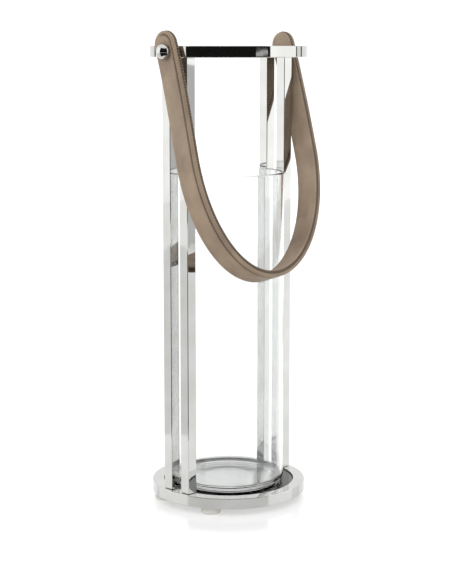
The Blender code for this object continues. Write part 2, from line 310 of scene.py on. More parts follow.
@dataclass(frozen=True)
class BlownGlass(Finish):
    """Clear mouth-blown soda glass: colourless, with slow waves that bend what stands behind it."""

    wave_mm: float = 45.0

    def pattern(self, tree: bpy.types.NodeTree) -> None:
        """The waves run up the wall, longer than they are wide, and a faint film dulls them unevenly."""
        set_shader(tree, {"Transmission Weight": 1.0, "IOR": 1.5})
        space = add_node(tree, "Mapping", {"Scale": (1.0, 1.0, 0.35)}, {"Vector": self.place(tree)})
        waves = add_node(tree, "TexNoise",
                         {"Scale": 1.0 / (self.wave_mm * MM), "Detail": 1.5, "Roughness": 0.4},
                         {"Vector": space})
        add_node(tree, "Bump", {"Strength": 0.16, "Distance": 0.0020}, {"Height": waves}, "Normal")
        add_node(tree, "MapRange", {"To Min": 0.0, "To Max": self.roughness}, {"Value": waves}, "Roughness")


@dataclass(frozen=True)
class BorderedPlate(Finish):
    """Buffed steel disc with a black lacquered border: a mirror under the glass and a dark ring round it.

    The buffing rings are drawn coarser than real ones.
    """

    border: str = "#080707"
    inner_radius: float = 0.0532
    ring_mm: float = 0.9

    def pattern(self, tree: bpy.types.NodeTree) -> None:
        """The border starts at a radius, and buffing in the lathe leaves faint rings."""
        flat = add_node(tree, "VectorMath", {1: (1.0, 1.0, 0.0)}, {0: self.place(tree)}, operation="MULTIPLY")
        radius = add_node(tree, "VectorMath", None, {0: flat}, operation="LENGTH").outputs["Value"]
        inside = add_node(tree, "Math", {1: self.inner_radius}, {0: radius}, "Metallic",
                          operation="LESS_THAN")
        add_node(tree, "Mix", {6: linear(self.border), 7: linear(self.colour)}, {0: inside}, "Base Color",
                 data_type="RGBA")
        rings = add_node(tree, "TexNoise", {"Scale": 1.0 / (self.ring_mm * MM), "Detail": 3.0}, {"W": radius},
                         noise_dimensions="1D")
        add_node(tree, "MapRange", {"To Min": self.roughness * 0.7, "To Max": self.roughness * 1.3},
                 {"Value": rings}, "Roughness")
        add_node(tree, "Bump", {"Strength": 0.08, "Distance": 0.0001}, {"Height": rings}, "Normal")


@dataclass(frozen=True)
class Silicone(Finish):
    """Cast clear silicone: milky, half see-through, with a soft skin and a grain drawn coarser than real."""

    low_tint: str = "#cfcdc6"
    grain_mm: float = 1.111

    def pattern(self, tree: bpy.types.NodeTree) -> None:
        """The casting leaves a fine satin grain."""
        set_shader(tree, {"Transmission Weight": 0.45, "IOR": 1.41})
        grain = add_node(tree, "TexNoise", {"Scale": 1.0 / (self.grain_mm * MM), "Detail": 3.0},
                         {"Vector": self.place(tree)})
        tone = add_node(tree, "ValToRGB", None, {"Fac": grain}, "Base Color")
        set_ramp(tone, [(0.3, linear(self.low_tint)), (0.7, linear(self.colour))])
        add_node(tree, "Bump", {"Strength": 0.2, "Distance": 0.0001}, {"Height": grain}, "Normal")


# Bars and rings: a near mirror that shows the white studio and the dark flag as clean bands.
CHROME = PolishedChrome("chrome_plate_buffed", "#c8c8c6", 0.03, 1.0)
# Domed screws: the same plate over a turned head, with tighter waves.
KNOB_CHROME = PolishedChrome("chrome_plate_knob", "#cbcbc9", 0.045, 1.0, wave_mm=9.0, wave_depth=0.05)
# Hidden screws: grey and half matt.
ZINC = TurnedMetal("zinc_plated_steel_turned", "#b9b8b2", 0.30, 1.0)
# Bushes: warm yellow where they show between leather and screw.
BRASS = TurnedMetal("brass_turned", "#c9a25c", 0.25, 1.0)
# Outer strap: soft taupe with a dull wax shine and dark edges.
HIDE = Leather("taupe_hide_waxed", "#9a856e", 0.50, dark="#7b6857", edge="#463a2f")
# Lining: the same hide, paler and drier.
LINING = Leather("taupe_hide_lining", "#b09a83", 0.60, dark="#8f7b68", edge="#4a3e33")
# Stitches: a lighter line of short threads in the dark seam.
THREAD = WaxedThread("waxed_linen_thread", "#9c8a76", 0.55)
# Cylinder: nearly unseen but for its rim, foot and bent reflections.
GLASS = BlownGlass("soda_glass_blown", "#fcfdfd", 0.004)
# Plate: a bright disc under the glass and a black ring round its foot.
PLATE = BorderedPlate("steel_buffed_lacquered_border", "#cfcecb", 0.14)
# Feet: pale milky pads.
PAD = Silicone("clear_silicone_cast", "#e6e4dc", 0.40)


# ---- surfaces


def smooth_step(share: np.ndarray) -> np.ndarray:
    """Eases a value from 0 to 1: 3 s squared less 2 s cubed, held at 0 and 1 outside them."""
    held = np.clip(share, 0.0, 1.0)
    return held**2 * (3 - 2 * held)


def smooth_line(points: np.ndarray, count: int) -> np.ndarray:
    """Carries a smooth line through a few points.

    Formula: a Catmull-Rom cubic between each pair of points, whose slopes at a point are half the step
    between its two neighbours.

    Args:
        points: (n, k) points.
        count: points of the result.

    Returns:
        (count, k) points, which start and end on the given ends.
    """
    padded = np.vstack([2 * points[0] - points[1], points, 2 * points[-1] - points[-2]])
    where = np.linspace(0.0, len(points) - 1 - 1e-6, count)     # just short of the last point
    cell = where.astype(int)
    t = (where - cell)[:, None]
    a, b, c, d = (padded[cell + step] for step in range(4))
    return 0.5 * (2 * b + (c - a) * t + (2 * a - 5 * b + 4 * c - d) * t**2 + (3 * b - a - 3 * c + d) * t**3)


def filleted(corners: list[tuple[float, float, float]], steps: int = 5, support: float = 0.00012,
             closed: bool = True) -> np.ndarray:
    """Rounds the corners of an outline.

    Formula: each corner becomes an arc whose centre lies on the corner's bisector at radius over the sine
    of the half angle. A support point just past each end of the arc keeps the flats flat in the shading.

    Args:
        corners: (across, up, radius) of each corner; a radius of 0 keeps the point as it is.
        steps: facets in an arc.
        support: distance of the support points from the arc.
        closed: True if the last corner joins the first.

    Returns:
        (n, 2) points.
    """
    places = np.array([corner[:2] for corner in corners])
    parts = []
    for index, (across, up, radius) in enumerate(corners):
        here = np.array([across, up])
        at_end = not closed and index in (0, len(corners) - 1)
        if radius <= 0.0 or at_end:
            parts.append(here[None])
            continue
        before = places[index - 1] - here
        after = places[(index + 1) % len(corners)] - here
        before /= np.linalg.norm(before)
        after /= np.linalg.norm(after)
        half = math.acos(float(np.clip(before @ after, -1.0, 1.0))) / 2
        reach = radius / math.tan(half)
        bisector = (before + after) / np.linalg.norm(before + after)
        centre = here + bisector * radius / math.sin(half)
        sweep = math.pi - 2 * half
        first, last = here + before * reach - centre, here + after * reach - centre
        k = np.linspace(0.0, 1.0, steps + 1)[:, None]
        bow = (np.sin((1 - k) * sweep) * first + np.sin(k * sweep) * last) / math.sin(sweep)
        parts.append(np.vstack([here + before * (reach + support), centre + bow,
                                here + after * (reach + support)]))
    return np.vstack(parts)


def surface(name: str, grid: np.ndarray, uv: np.ndarray | None = None,
            masks: dict[str, np.ndarray] | None = None) -> bpy.types.Object:
    """Makes a closed piece from a grid of points whose seams and poles coincide.

    Formula: each cell of the grid is one quad; points closer than a micron are then welded, which closes
    the seams and turns quads at a pole into triangles. The faces are ordered so that the enclosed volume,
    the sum of every triangle's triple product over six, is positive.

    Args:
        name: the piece's name.
        grid: (rows, columns, 3) points.
        uv: (rows, columns, 2) map in metres along the surface.
        masks: point attribute name to (rows, columns) values.

    Returns:
        The new object, shaded smooth with sharp corners kept.
    """
    rows, columns = grid.shape[:2]
    index = np.arange(rows * columns).reshape(rows, columns)
    quads = np.stack([index[:-1, :-1], index[:-1, 1:], index[1:, 1:], index[1:, :-1]], -1).reshape(-1, 4)
    points = grid.reshape(-1, 3)
    a, b, c, d = (points[quads[:, corner]] for corner in range(4))
    volume = (a * np.cross(b, c)).sum() + (a * np.cross(c, d)).sum()
    if volume < 0:
        quads = quads[:, ::-1]
    mesh = bpy.data.meshes.new(name)
    mesh.from_pydata(points.tolist(), [], quads.tolist())
    if uv is not None:
        layer = mesh.uv_layers.new(name="UVMap")
        layer.data.foreach_set("uv", uv.reshape(-1, 2)[quads.ravel()].astype(np.float32).ravel())
    for mask, values in (masks or {}).items():
        attribute = mesh.attributes.new(mask, "FLOAT", "POINT")
        attribute.data.foreach_set("value", values.astype(np.float32).ravel())
    weld(mesh)
    shade(mesh)
    return in_scene(name, mesh)


def in_scene(name: str, data: bpy.types.ID) -> bpy.types.Object:
    """Puts a new object with the given data in the scene."""
    item = bpy.data.objects.new(name, data)
    bpy.context.scene.collection.objects.link(item)
    return item


def weld(mesh: bpy.types.Mesh) -> None:
    """Welds coincident points and drops faces that have closed up."""
    bm = bmesh.new()
    bm.from_mesh(mesh)
    bmesh.ops.remove_doubles(bm, verts=bm.verts, dist=1e-6)
    bmesh.ops.dissolve_degenerate(bm, edges=bm.edges, dist=1e-7)
    bm.to_mesh(mesh)
    bm.free()


def shade(mesh: bpy.types.Mesh) -> None:
    """Shades a mesh smooth and keeps its sharp corners."""
    mesh.shade_smooth()
    mesh.set_sharp_from_angle(angle=SMOOTH_ANGLE)


def turned(name: str, outline: np.ndarray, steps: int, place: np.ndarray | None = None,
           facets: tuple[int, int] | None = None) -> bpy.types.Object:
    """Turns an outline about Z.

    Formula: a point of radius r and height z at angle t stands at r cos t, r sin t, z. Rows named in facets
    are hexagonal: their radius is divided by the cosine of the angle to the nearest flat.

    Args:
        name: the piece's name.
        outline: (n, 2) radius and height. It is closed on itself unless it starts on the axis.
        steps: facets round the piece.
        place: 4 x 4 matrix that stands the piece in the frame.
        facets: first and last row of a hexagonal stretch.

    Returns:
        The new object, at the origin with its place in its mesh.
    """
    if outline[0, 0] > 1e-9:
        outline = np.vstack([outline, outline[:1]])
    turn = np.linspace(0.0, math.tau, steps + 1)
    radius = np.repeat(outline[:, :1], steps + 1, axis=1)
    if facets:
        half_flat = math.pi / 6
        to_flat = (turn + half_flat) % (2 * half_flat) - half_flat
        radius[facets[0]:facets[1] + 1] /= np.cos(to_flat)
    grid = np.stack([radius * np.cos(turn), radius * np.sin(turn),
                     np.repeat(outline[:, 1:], steps + 1, axis=1)], -1)
    if place is not None:
        grid = grid @ place[:3, :3].T + place[:3, 3]
    return surface(name, grid)


def disc(radius: float, low: float, high: float, lower_edge: float, upper_edge: float) -> np.ndarray:
    """Returns the section of a disc from axis to axis, with its lower and upper arris rounded."""
    return filleted([(0.0, low, 0.0), (radius, low, lower_edge), (radius, high, upper_edge),
                     (0.0, high, 0.0)], closed=False)


def stand(x: float, y: float, z: float, turn: float = 0.0, axis: str = "Y") -> np.ndarray:
    """Returns the 4 x 4 matrix of a turn about one axis, then a move."""
    return np.array(Matrix.Translation((x, y, z)) @ Matrix.Rotation(turn, 4, axis))


def cut_away(piece: bpy.types.Object, tool: bpy.types.Object) -> None:
    """Cuts a piece with a tool, keeps the result as the piece's mesh and discards the tool.

    Args:
        piece: the object that is cut.
        tool: a closed object.
    """
    boolean = piece.modifiers.new("cut", "BOOLEAN")
    boolean.operation = "DIFFERENCE"
    boolean.solver = "EXACT"
    boolean.object = tool
    graph = bpy.context.evaluated_depsgraph_get()
    mesh = bpy.data.meshes.new_from_object(piece.evaluated_get(graph))
    piece.modifiers.clear()
    piece.data = mesh
    shade(mesh)
    bpy.data.objects.remove(tool, do_unlink=True)


def dress(piece: bpy.types.Object, finish: Finish, slot: Slot, body: Body, *nodes: str) -> bpy.types.Object:
    """Gives a piece its finish and its body, and lets it stand for CAD nodes.

    Args:
        piece: the finished piece.
        finish: its material.
        slot: the record's slot; not used.
        body: the body that it moves with.
        nodes: the CAD nodes that it stands for.

    Returns:
        The piece.
    """
    piece.data.materials.clear()
    piece.data.materials.append(finish.material())
    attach(piece, body.value)
    if nodes:
        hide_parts(*nodes)
    LOG.info("%s: %d faces, rides on %s", piece.name, len(piece.data.polygons), body.value)
    return piece


def size_of(node: str) -> tuple[np.ndarray, np.ndarray]:
    """Returns the lowest and highest corner of a CAD node."""
    low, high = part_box(node)
    return np.array(low), np.array(high)


# ---- frame


@dataclass
class PostScrew:
    """Countersunk screw with a hexagonal drive, at one end of a post."""

    head_radius: float = 0.0040
    shank_radius: float = 0.0020
    head_height: float = 0.0022
    drive_flat: float = 0.00125
    drive_depth: float = 0.0014
    edge: float = 0.00018
    neck_fillet: float = 0.0002
    tip_edge: float = 0.0004
    play: float = 0.0003
    steps: int = 48

    def outline(self, length: float) -> np.ndarray:
        """Returns the screw's outline: the drive, the head's face and cone, and the shank."""
        body = filleted([(self.drive_flat, 0.0, 0.0), (self.head_radius, 0.0, self.edge),
                         (self.shank_radius, self.head_height, self.neck_fillet),
                         (self.shank_radius, length, self.tip_edge), (0.0, length, 0.0)],
                        steps=3, closed=False)
        drive = np.array([[0.0, self.drive_depth], [self.drive_flat, self.drive_depth]])
        return np.vstack([drive, body])

    def build(self, node: str, face: float, turn: float) -> bpy.types.Object:
        """Builds one screw over its CAD node.

        Args:
            node: the CAD node's name, which the piece takes with a suffix.
            face: height of the ring's face that the head is flush with.
            turn: 0 for a screw that points up, and half a turn for one that points down.

        Returns:
            The screw.
        """
        low, high = size_of(node)
        place = stand(*(low + high)[:2] / 2, face, turn, "X")
        return turned(node + "_fine", self.outline(high[2] - low[2]), self.steps, place, facets=(1, 2))

    def hole(self, node: str, face: float, turn: float, depth: float) -> bpy.types.Object:
        """Builds the tool that cuts the countersunk hole of one screw."""
        low, high = size_of(node)
        head, shank = self.head_radius + self.play, self.shank_radius + self.play
        outline = np.array([[0.0, -MM], [head, -MM], [head, 0.0], [shank, self.head_height + self.play],
                            [shank, depth], [0.0, depth]])
        return turned("hole_tool", outline, self.steps, stand(*(low + high)[:2] / 2, face, turn, "X"))


@dataclass
class RingFrame:
    """Base, top ring, four posts, their screws, the recessed plate and the feet."""

    ring_steps: int = 240
    edge: float = 0.0006
    top_bore: float = 0.062
    base_bore: float = 0.0665
    web: float = 0.005
    plate_edge: float = 0.0004
    post_edge: float = 0.0006
    foot_edge: float = 0.0006
    foot_steps: int = 72
    drill_depth: float = 0.02
    screw: PostScrew = field(default_factory=PostScrew)

    def ring_outline(self, node: str, bore: float) -> np.ndarray:
        """Returns the section of a flat ring with rounded arrises, between the node's faces."""
        low, high = size_of(node)
        radius = high[0]
        return filleted([(bore, low[2], self.edge), (radius, low[2], self.edge), (radius, high[2], self.edge),
                         (bore, high[2], self.edge)])

    def top_ring(self) -> bpy.types.Object:
        """Builds the top ring and drills it for its four screws."""
        _, high = size_of("top_ring")
        ring = turned("top_ring_fine", self.ring_outline("top_ring", self.top_bore), self.ring_steps)
        for corner in CORNERS:
            cut_away(ring, self.screw.hole("top_screw_" + corner, high[2], math.pi, self.drill_depth))
        return ring

    def base(self) -> bpy.types.Object:
        """Builds the base: a disc turned with a recess, and drilled from below for its four screws."""
        low, high = size_of("base_ring")
        recess = low[2] + self.web
        outline = filleted([(0.0, low[2], 0.0), (high[0], low[2], self.edge), (high[0], high[2], self.edge),
                            (self.base_bore, high[2], self.edge / 2), (self.base_bore, recess, 0.0),
                            (0.0, recess, 0.0)], closed=False)
        ring = turned("base_ring_fine", outline, self.ring_steps)
        for corner in CORNERS:
            cut_away(ring, self.screw.hole("base_screw_" + corner, low[2], 0.0, self.drill_depth))
        return ring

    def plate(self) -> bpy.types.Object:
        """Builds the buffed plate that lies in the recess."""
        low, high = size_of("base_plate")
        outline = disc(high[0], low[2], high[2], self.plate_edge / 2, self.plate_edge)
        return turned("base_plate_fine", outline, self.ring_steps)

    def post(self, corner: str) -> bpy.types.Object:
        """Builds one square post.

        Formula: the rounded square is shrunk along its own normals by the arris at each end, and to its
        centre on the end faces, and carried up Z.
        """
        low, high = size_of("post_" + corner)
        half = (high[0] - low[0]) / 2
        centre = (low + high) / 2
        rows = disc(half, low[2], high[2], self.post_edge / 2, self.post_edge / 2)
        sides = 4
        arc_steps = 5
        turn = (np.arange(sides)[:, None] * math.pi / 2
                + np.linspace(0.0, math.pi / 2, arc_steps + 1)[None]).ravel()
        quarter = np.repeat(np.arange(sides) * math.pi / 2 + math.pi / 4, arc_steps + 1)
        core = (half - self.post_edge) * math.sqrt(2.0)
        round_square = np.stack([core * np.cos(quarter) + self.post_edge * np.cos(turn),
                                 core * np.sin(quarter) + self.post_edge * np.sin(turn)], -1)
        flats = self.with_supports(round_square, arc_steps + 1)
        closed = np.vstack([flats, flats[:1]])
        grid = np.concatenate([closed[None] * (rows[:, :1, None] / half),
                               np.broadcast_to(rows[:, None, 1:], (len(rows), len(closed), 1))], -1)
        grid[..., :2] += centre[:2]
        return surface("post_" + corner + "_fine", grid)

    @staticmethod
    def with_supports(outline: np.ndarray, corner_points: int) -> np.ndarray:
        """Adds a point just past each end of every rounded corner, so that the flats shade flat."""
        corners = outline.reshape(4, corner_points, 2)
        share = 0.02
        before = corners[:, :1] + (np.roll(corners, 1, axis=0)[:, -1:] - corners[:, :1]) * share
        after = corners[:, -1:] + (np.roll(corners, -1, axis=0)[:, :1] - corners[:, -1:]) * share
        return np.concatenate([before, corners, after], axis=1).reshape(-1, 2)

    def foot(self, corner: str) -> bpy.types.Object:
        """Builds one round pad with a rounded lower rim."""
        low, high = size_of("foot_" + corner)
        centre = (low + high) / 2
        radius = (high[0] - low[0]) / 2
        outline = disc(radius, low[2], high[2], self.foot_edge * 1.5, self.foot_edge / 2)
        return turned("foot_" + corner + "_fine", outline, self.foot_steps, stand(*centre[:2], 0.0))

    def build(self) -> None:
        """Builds and dresses the whole frame."""
        dress(self.base(), CHROME, Slot.CHROME, Body.FRAME, "base_ring")
        dress(self.top_ring(), CHROME, Slot.CHROME, Body.FRAME, "top_ring")
        dress(self.plate(), PLATE, Slot.PLATE, Body.FRAME, "base_plate")
        bottom = size_of("base_ring")[0][2]
        top = size_of("top_ring")[1][2]
        for corner in CORNERS:
            dress(self.post(corner), CHROME, Slot.CHROME, Body.FRAME, "post_" + corner)
            dress(self.foot(corner), PAD, Slot.PAD, Body.FRAME, "foot_" + corner)
            for end, face, turn in (("base", bottom, 0.0), ("top", top, math.pi)):
                node = end + "_screw_" + corner
                dress(self.screw.build(node, face, turn), ZINC, Slot.SCREW, Body.FRAME, node)


# ---- glass


@dataclass
class GlassCylinder:
    """Closed-bottom glass cylinder with a fire-polished rim and a thick foot."""

    wall: float = 0.0030
    floor: float = 0.0045
    foot_fillet: float = 0.0065
    inner_fillet: float = 0.0040
    punt_rise: float = 0.0008
    punt_radius: float = 0.044
    steps: int = 180
    row_step: float = 0.0075
    wave: float = 0.00012
    waves: tuple[tuple[int, float, float], ...] = ((3, 21.0, 1.0), (5, -34.0, 0.6))
    full_wave_radius: float = 0.05

    def outline(self) -> np.ndarray:
        """Returns the section: punt, foot, outer wall, round rim, inner wall, floor."""
        low, high = size_of("glass_cylinder")
        radius = high[0]
        inner = radius - self.wall
        lip = self.wall / 2 * 0.98
        outer = filleted([(0.0, low[2] + self.punt_rise, 0.0),
                          (self.punt_radius * 0.55, low[2] + self.punt_rise * 0.8, 0.012),
                          (self.punt_radius, low[2], 0.003), (radius, low[2], self.foot_fillet),
                          (radius, high[2], lip), (inner, high[2], lip),
                          (inner, low[2] + self.floor, self.inner_fillet), (0.0, low[2] + self.floor, 0.0)],
                         steps=8, closed=False)
        return self.divided(outer)

    def divided(self, outline: np.ndarray) -> np.ndarray:
        """Divides each long straight stretch of an outline into equal steps."""
        parts = []
        for start, end in zip(outline, outline[1:]):
            pieces = max(1, round(float(np.linalg.norm(end - start)) / self.row_step))
            share = np.arange(pieces)[:, None] / pieces
            parts.append(start + (end - start) * share)
        return np.vstack([*parts, outline[-1:]])

    def build(self) -> None:
        """Builds the cylinder.

        Formula: the section is turned about Z, and each point's radius gains a sum of two slow sine waves
        of the angle and the height, the unevenness that blowing leaves. The wall is then drawn in by the
        waves' greatest height, so that it stays inside the CAD node.
        """
        outline = self.outline()
        turn = np.linspace(0.0, math.tau, self.steps + 1)
        radius, height = outline[:, :1], outline[:, 1:]
        uneven = self.wave * sum(share * np.sin(lobes * turn + height * rate)
                                 for lobes, rate, share in self.waves)
        drawn_in = self.wave * sum(share for *_, share in self.waves)
        real = (radius + uneven * np.clip(radius / self.full_wave_radius, 0.0, 1.0) ** 2
                - drawn_in * (radius > self.full_wave_radius))
        grid = np.stack([real * np.cos(turn), real * np.sin(turn), np.broadcast_to(height, real.shape)], -1)
        dress(surface("glass_cylinder_fine", grid), GLASS, Slot.GLASS, Body.GLASS, "glass_cylinder")


# ---- handle


@dataclass
class LoopPath:
    """The centre line of the strap, in the plane that it swings in."""

    pivot: np.ndarray
    pivot_x: float = 0.0819
    half_span: float = 0.0831
    spring: float = 0.1075
    drop: float = 0.2266
    lean: float = -0.0195
    lean_power: float = 1.5
    tip: float = 0.0201
    hang: float = math.radians(18.82)
    samples: int = 1500

    def __post_init__(self) -> None:
        """Works out the table that the surfaces read.

        Formula: from the left tip a leg runs down and swells by half a cosine to the widest span, the bend is
        half an ellipse, and the right leg mirrors the left. The lean along X grows with a power of the depth
        below the pivot. Lengths are summed along the line, and normals point out of the loop.
        """
        depth = np.linspace(-self.tip, self.spring, self.samples)
        share = np.clip(depth / self.spring, 0.0, 1.0)
        leg_x = self.pivot_x + (self.half_span - self.pivot_x) * (1 - np.cos(np.pi * share)) / 2
        turn = np.linspace(0.0, np.pi, self.samples)[1:-1]
        x = np.concatenate([-leg_x, -self.half_span * np.cos(turn), leg_x[::-1]])
        down = np.concatenate([depth, self.spring + (self.drop - self.spring) * np.sin(turn), depth[::-1]])
        x = x + self.lean * (np.clip(down, 0.0, None) / self.drop) ** self.lean_power
        self.line = np.stack([x, -down], -1)
        self.length = np.concatenate([[0.0], np.cumsum(np.linalg.norm(np.diff(self.line, axis=0), axis=1))])
        along = np.gradient(self.line, self.length, axis=0)
        self.normal = np.stack([along[:, 1], -along[:, 0]], -1)

    @property
    def total(self) -> float:
        """Length of the strap from tip to tip."""
        return float(self.length[-1])

    def at(self, length: np.ndarray, across: np.ndarray, depth: np.ndarray) -> np.ndarray:
        """Places points of the strap in the frame.

        Args:
            length: distance along the strap from its left tip.
            across: distance across the strap from its centre.
            depth: distance out of the loop from the centre line.

        Returns:
            Points with one more axis, of size 3.
        """
        x, z, normal_x, normal_z = (np.interp(length, self.length, values) for values in
                                    (*self.line.T, *self.normal.T))
        size = np.hypot(normal_x, normal_z)
        x = x + depth * normal_x / size
        z = z + depth * normal_z / size
        cos, sin = math.cos(self.hang), math.sin(self.hang)
        return np.stack([x, across * cos + z * sin, z * cos - across * sin], -1) + self.pivot


@dataclass
class StrapOutline:
    """The strap laid flat: a long shape with half-round ends."""

    total: float
    half_width: float = 0.0135
    side_columns: int = 330
    end_columns: int = 34

    def __post_init__(self) -> None:
        """Works out the outline.

        Formula: every point of the outline has a point of the strap's spine and a direction away from it.
        Along the sides the direction is straight across, and round each end it sweeps half a turn.
        """
        first, last = self.half_width, self.total - self.half_width
        side = np.linspace(first, last, self.side_columns)
        sweep = np.linspace(0.0, np.pi, self.end_columns)[1:-1]
        ones = np.ones_like(side)
        self.spine = np.concatenate([side, np.full_like(sweep, last), side[::-1], np.full_like(sweep, first),
                                     [first]])
        self.along = np.concatenate([0 * ones, np.sin(sweep), 0 * ones, -np.sin(sweep), [0.0]])
        self.across = np.concatenate([-ones, -np.cos(sweep), ones, np.cos(sweep), [-1.0]])

    def flat(self, inset: np.ndarray) -> tuple[np.ndarray, np.ndarray]:
        """Places a profile round the outline.

        Args:
            inset: distance of each profile point in from the edge.

        Returns:
            Length and across, each (profile points, outline points).
        """
        out = (self.half_width - inset)[:, None]
        return self.spine + out * self.along, out * self.across


@dataclass
class StrapLayer:
    """One leather layer, a profile carried round the strap's outline. Its sizes are in millimetres.

    The sizes are: how far each screw presses the outer face in, how wide and how softly, and where its centre
    is; the groove's place in from the edge, its width and depth; the rise of the roll outside the groove,
    its distance from the groove and its width; how far in from the edge the burnish reaches; and the depth
    beyond which a point is on the outer face. The front's start and fade are shares of half the width.
    """

    name: str
    profile: tuple[tuple[float, float], ...]
    rows: int
    burnish: tuple[float, float]
    press: float = 0.0
    pivot_from_tip: float = 20.1
    press_radius: float = 8.6
    press_fade: float = 2.2
    groove: float | None = None
    groove_width: float = 1.0
    groove_depth: float = 1.05
    roll_rise: float = 0.12
    roll_out: float = 2.0
    roll_width: float = 0.9
    # Painted shade: how far the groove is darkened towards the edge colour.
    groove_painted_shade: float = 0.75
    burnish_reach: float = 1.6
    outer_face: float = 2.0
    front_from: float = 0.55
    front_fade: float = 0.9

    def groove_masks(self, outline: StrapOutline, inset: np.ndarray) -> tuple[np.ndarray, np.ndarray]:
        """Returns how much of the groove and of the roll each point has.

        Formula: both are bell curves of the distance from the groove, and fade out by a smooth step from
        the front edge of the strap to the middle of its ends.

        Args:
            outline: the strap's outline.
            inset: distance of each profile point in from the edge, as a column.

        Returns:
            The groove's mask and the roll's mask, each (profile points, outline points).
        """
        if self.groove is None:
            return np.zeros((2, len(inset), len(outline.across)))
        front = smooth_step((self.front_from - outline.across) / self.front_fade)
        away = inset - self.groove
        return (front * np.exp(-(away / self.groove_width) ** 2),
                front * np.exp(-((away + self.roll_out) / self.roll_width) ** 2))

    def build(self, path: LoopPath, outline: StrapOutline) -> bpy.types.Object:
        """Builds the layer.

        Formula: the profile gives an inset from the edge and a depth for each row, from the middle of one
        face round the edge to the middle of the other. Near each screw the outer face is pressed in by a
        smooth step of the distance from the screw. The groove's mask is taken off the outer face and
        darkens its colour as painted shade, and the roll's mask is added.
        """
        line = smooth_line(np.array(self.profile), self.rows)
        inset = np.clip(line[:, :1], 0.0, outline.half_width / MM)
        inset[[0, -1]] = outline.half_width / MM
        length, across = outline.flat(inset[:, 0] * MM)
        on_face = line[:, 1:] > self.outer_face
        creased, rolled = (mask * on_face for mask in self.groove_masks(outline, inset))
        depth = line[:, 1:] - self.groove_depth * creased + self.roll_rise * rolled
        for centre in (self.pivot_from_tip * MM, path.total - self.pivot_from_tip * MM):
            away = np.hypot(length - centre, across) / MM
            fall = smooth_step((self.press_radius + self.press_fade - away) / self.press_fade)
            depth = depth - self.press * fall * (depth > self.outer_face)
        walked = np.concatenate([[0.0], np.cumsum(np.linalg.norm(np.diff(line, axis=0), axis=1))]) * MM
        uv = np.stack([length, np.broadcast_to(walked[:, None], length.shape)], -1)
        low, high = self.burnish
        edge_burnish_and_groove_shade = np.clip((line[:, 1:] - low) / (high - low), 0.0, 1.0) * np.exp(
            -(inset / self.burnish_reach) ** 2)
        # Painted shade: the groove joins the burnished edges in the dark mix.
        edge_burnish_and_groove_shade = np.maximum(edge_burnish_and_groove_shade, self.groove_painted_shade * creased)
        grid = path.at(length, across, depth * MM)
        return surface(self.name, grid, uv, {"burnish": edge_burnish_and_groove_shade})


@dataclass
class EdgeStitches:
    """Whipped stitches that close the two leather layers along their edge."""

    pitch: float = 0.0029
    thread: float = 0.00054
    reach: tuple[float, float] = (0.0006, -0.0027)
    slant: float = 0.0009
    tuck: float = 0.00035
    bow: float = 0.3
    around: int = 6
    knots: int = 7

    def build(self, path: LoopPath, outline: StrapOutline) -> bpy.types.Object:
        """Builds every stitch as one piece of many short threads.

        Formula: a stitch runs from the outer layer's edge to the lining's, bowed out by a sine, and its
        thread is a circle that closes to a point at both ends by the square root of that sine.
        """
        edge_length = outline.spine + outline.half_width * outline.along
        edge_across = outline.half_width * outline.across
        distance = np.concatenate([[0.0], np.cumsum(np.hypot(np.diff(edge_length), np.diff(edge_across)))])
        count = int(distance[-1] / self.pitch)
        where = (np.arange(count) + 0.5) * self.pitch
        t = np.linspace(0.0, 1.0, self.knots)
        bow = np.sin(np.pi * t)
        thread = self.thread * np.sqrt(np.clip(bow, 0.0, 1.0)) + 1e-7       # never closes to nothing
        turn = np.linspace(0.0, math.tau, self.around, endpoint=False)
        along = where[:, None, None] + (self.slant * (t - 0.5))[:, None] + thread[:, None] * np.cos(turn)
        out = (thread * self.bow * bow)[:, None] + thread[:, None] * np.sin(turn)
        depth = (self.reach[0] + (self.reach[1] - self.reach[0]) * t)[:, None]
        spine, ahead, aside = (np.interp(along, distance, values) for values in
                               (outline.spine, outline.along, outline.across))
        size = np.hypot(ahead, aside)
        edge = outline.half_width - self.tuck + out
        points = path.at(spine + edge * ahead / size, edge * aside / size,
                         np.broadcast_to(depth, along.shape))
        ring = np.arange(self.around)
        after = (ring + 1) % self.around
        base = (np.arange(count)[:, None, None] * self.knots
                + np.arange(self.knots - 1)[:, None]) * self.around
        quads = np.stack([base + ring, base + after, base + after + self.around, base + ring + self.around],
                         -1).reshape(-1, 4)
        ends = np.arange(count)[:, None] * self.knots * self.around
        caps = np.concatenate([ends + ring[::-1], ends + (self.knots - 1) * self.around + ring])
        mesh = bpy.data.meshes.new("edge_stitches")
        mesh.from_pydata(points.reshape(-1, 3).tolist(), [], quads.tolist() + caps.tolist())
        self.face_out(mesh)
        mesh.shade_smooth()
        return in_scene("edge_stitches", mesh)

    @staticmethod
    def face_out(mesh: bpy.types.Mesh) -> None:
        """Turns every thread's faces outwards."""
        bm = bmesh.new()
        bm.from_mesh(mesh)
        bmesh.ops.recalc_face_normals(bm, faces=bm.faces)
        bm.to_mesh(mesh)
        bm.free()


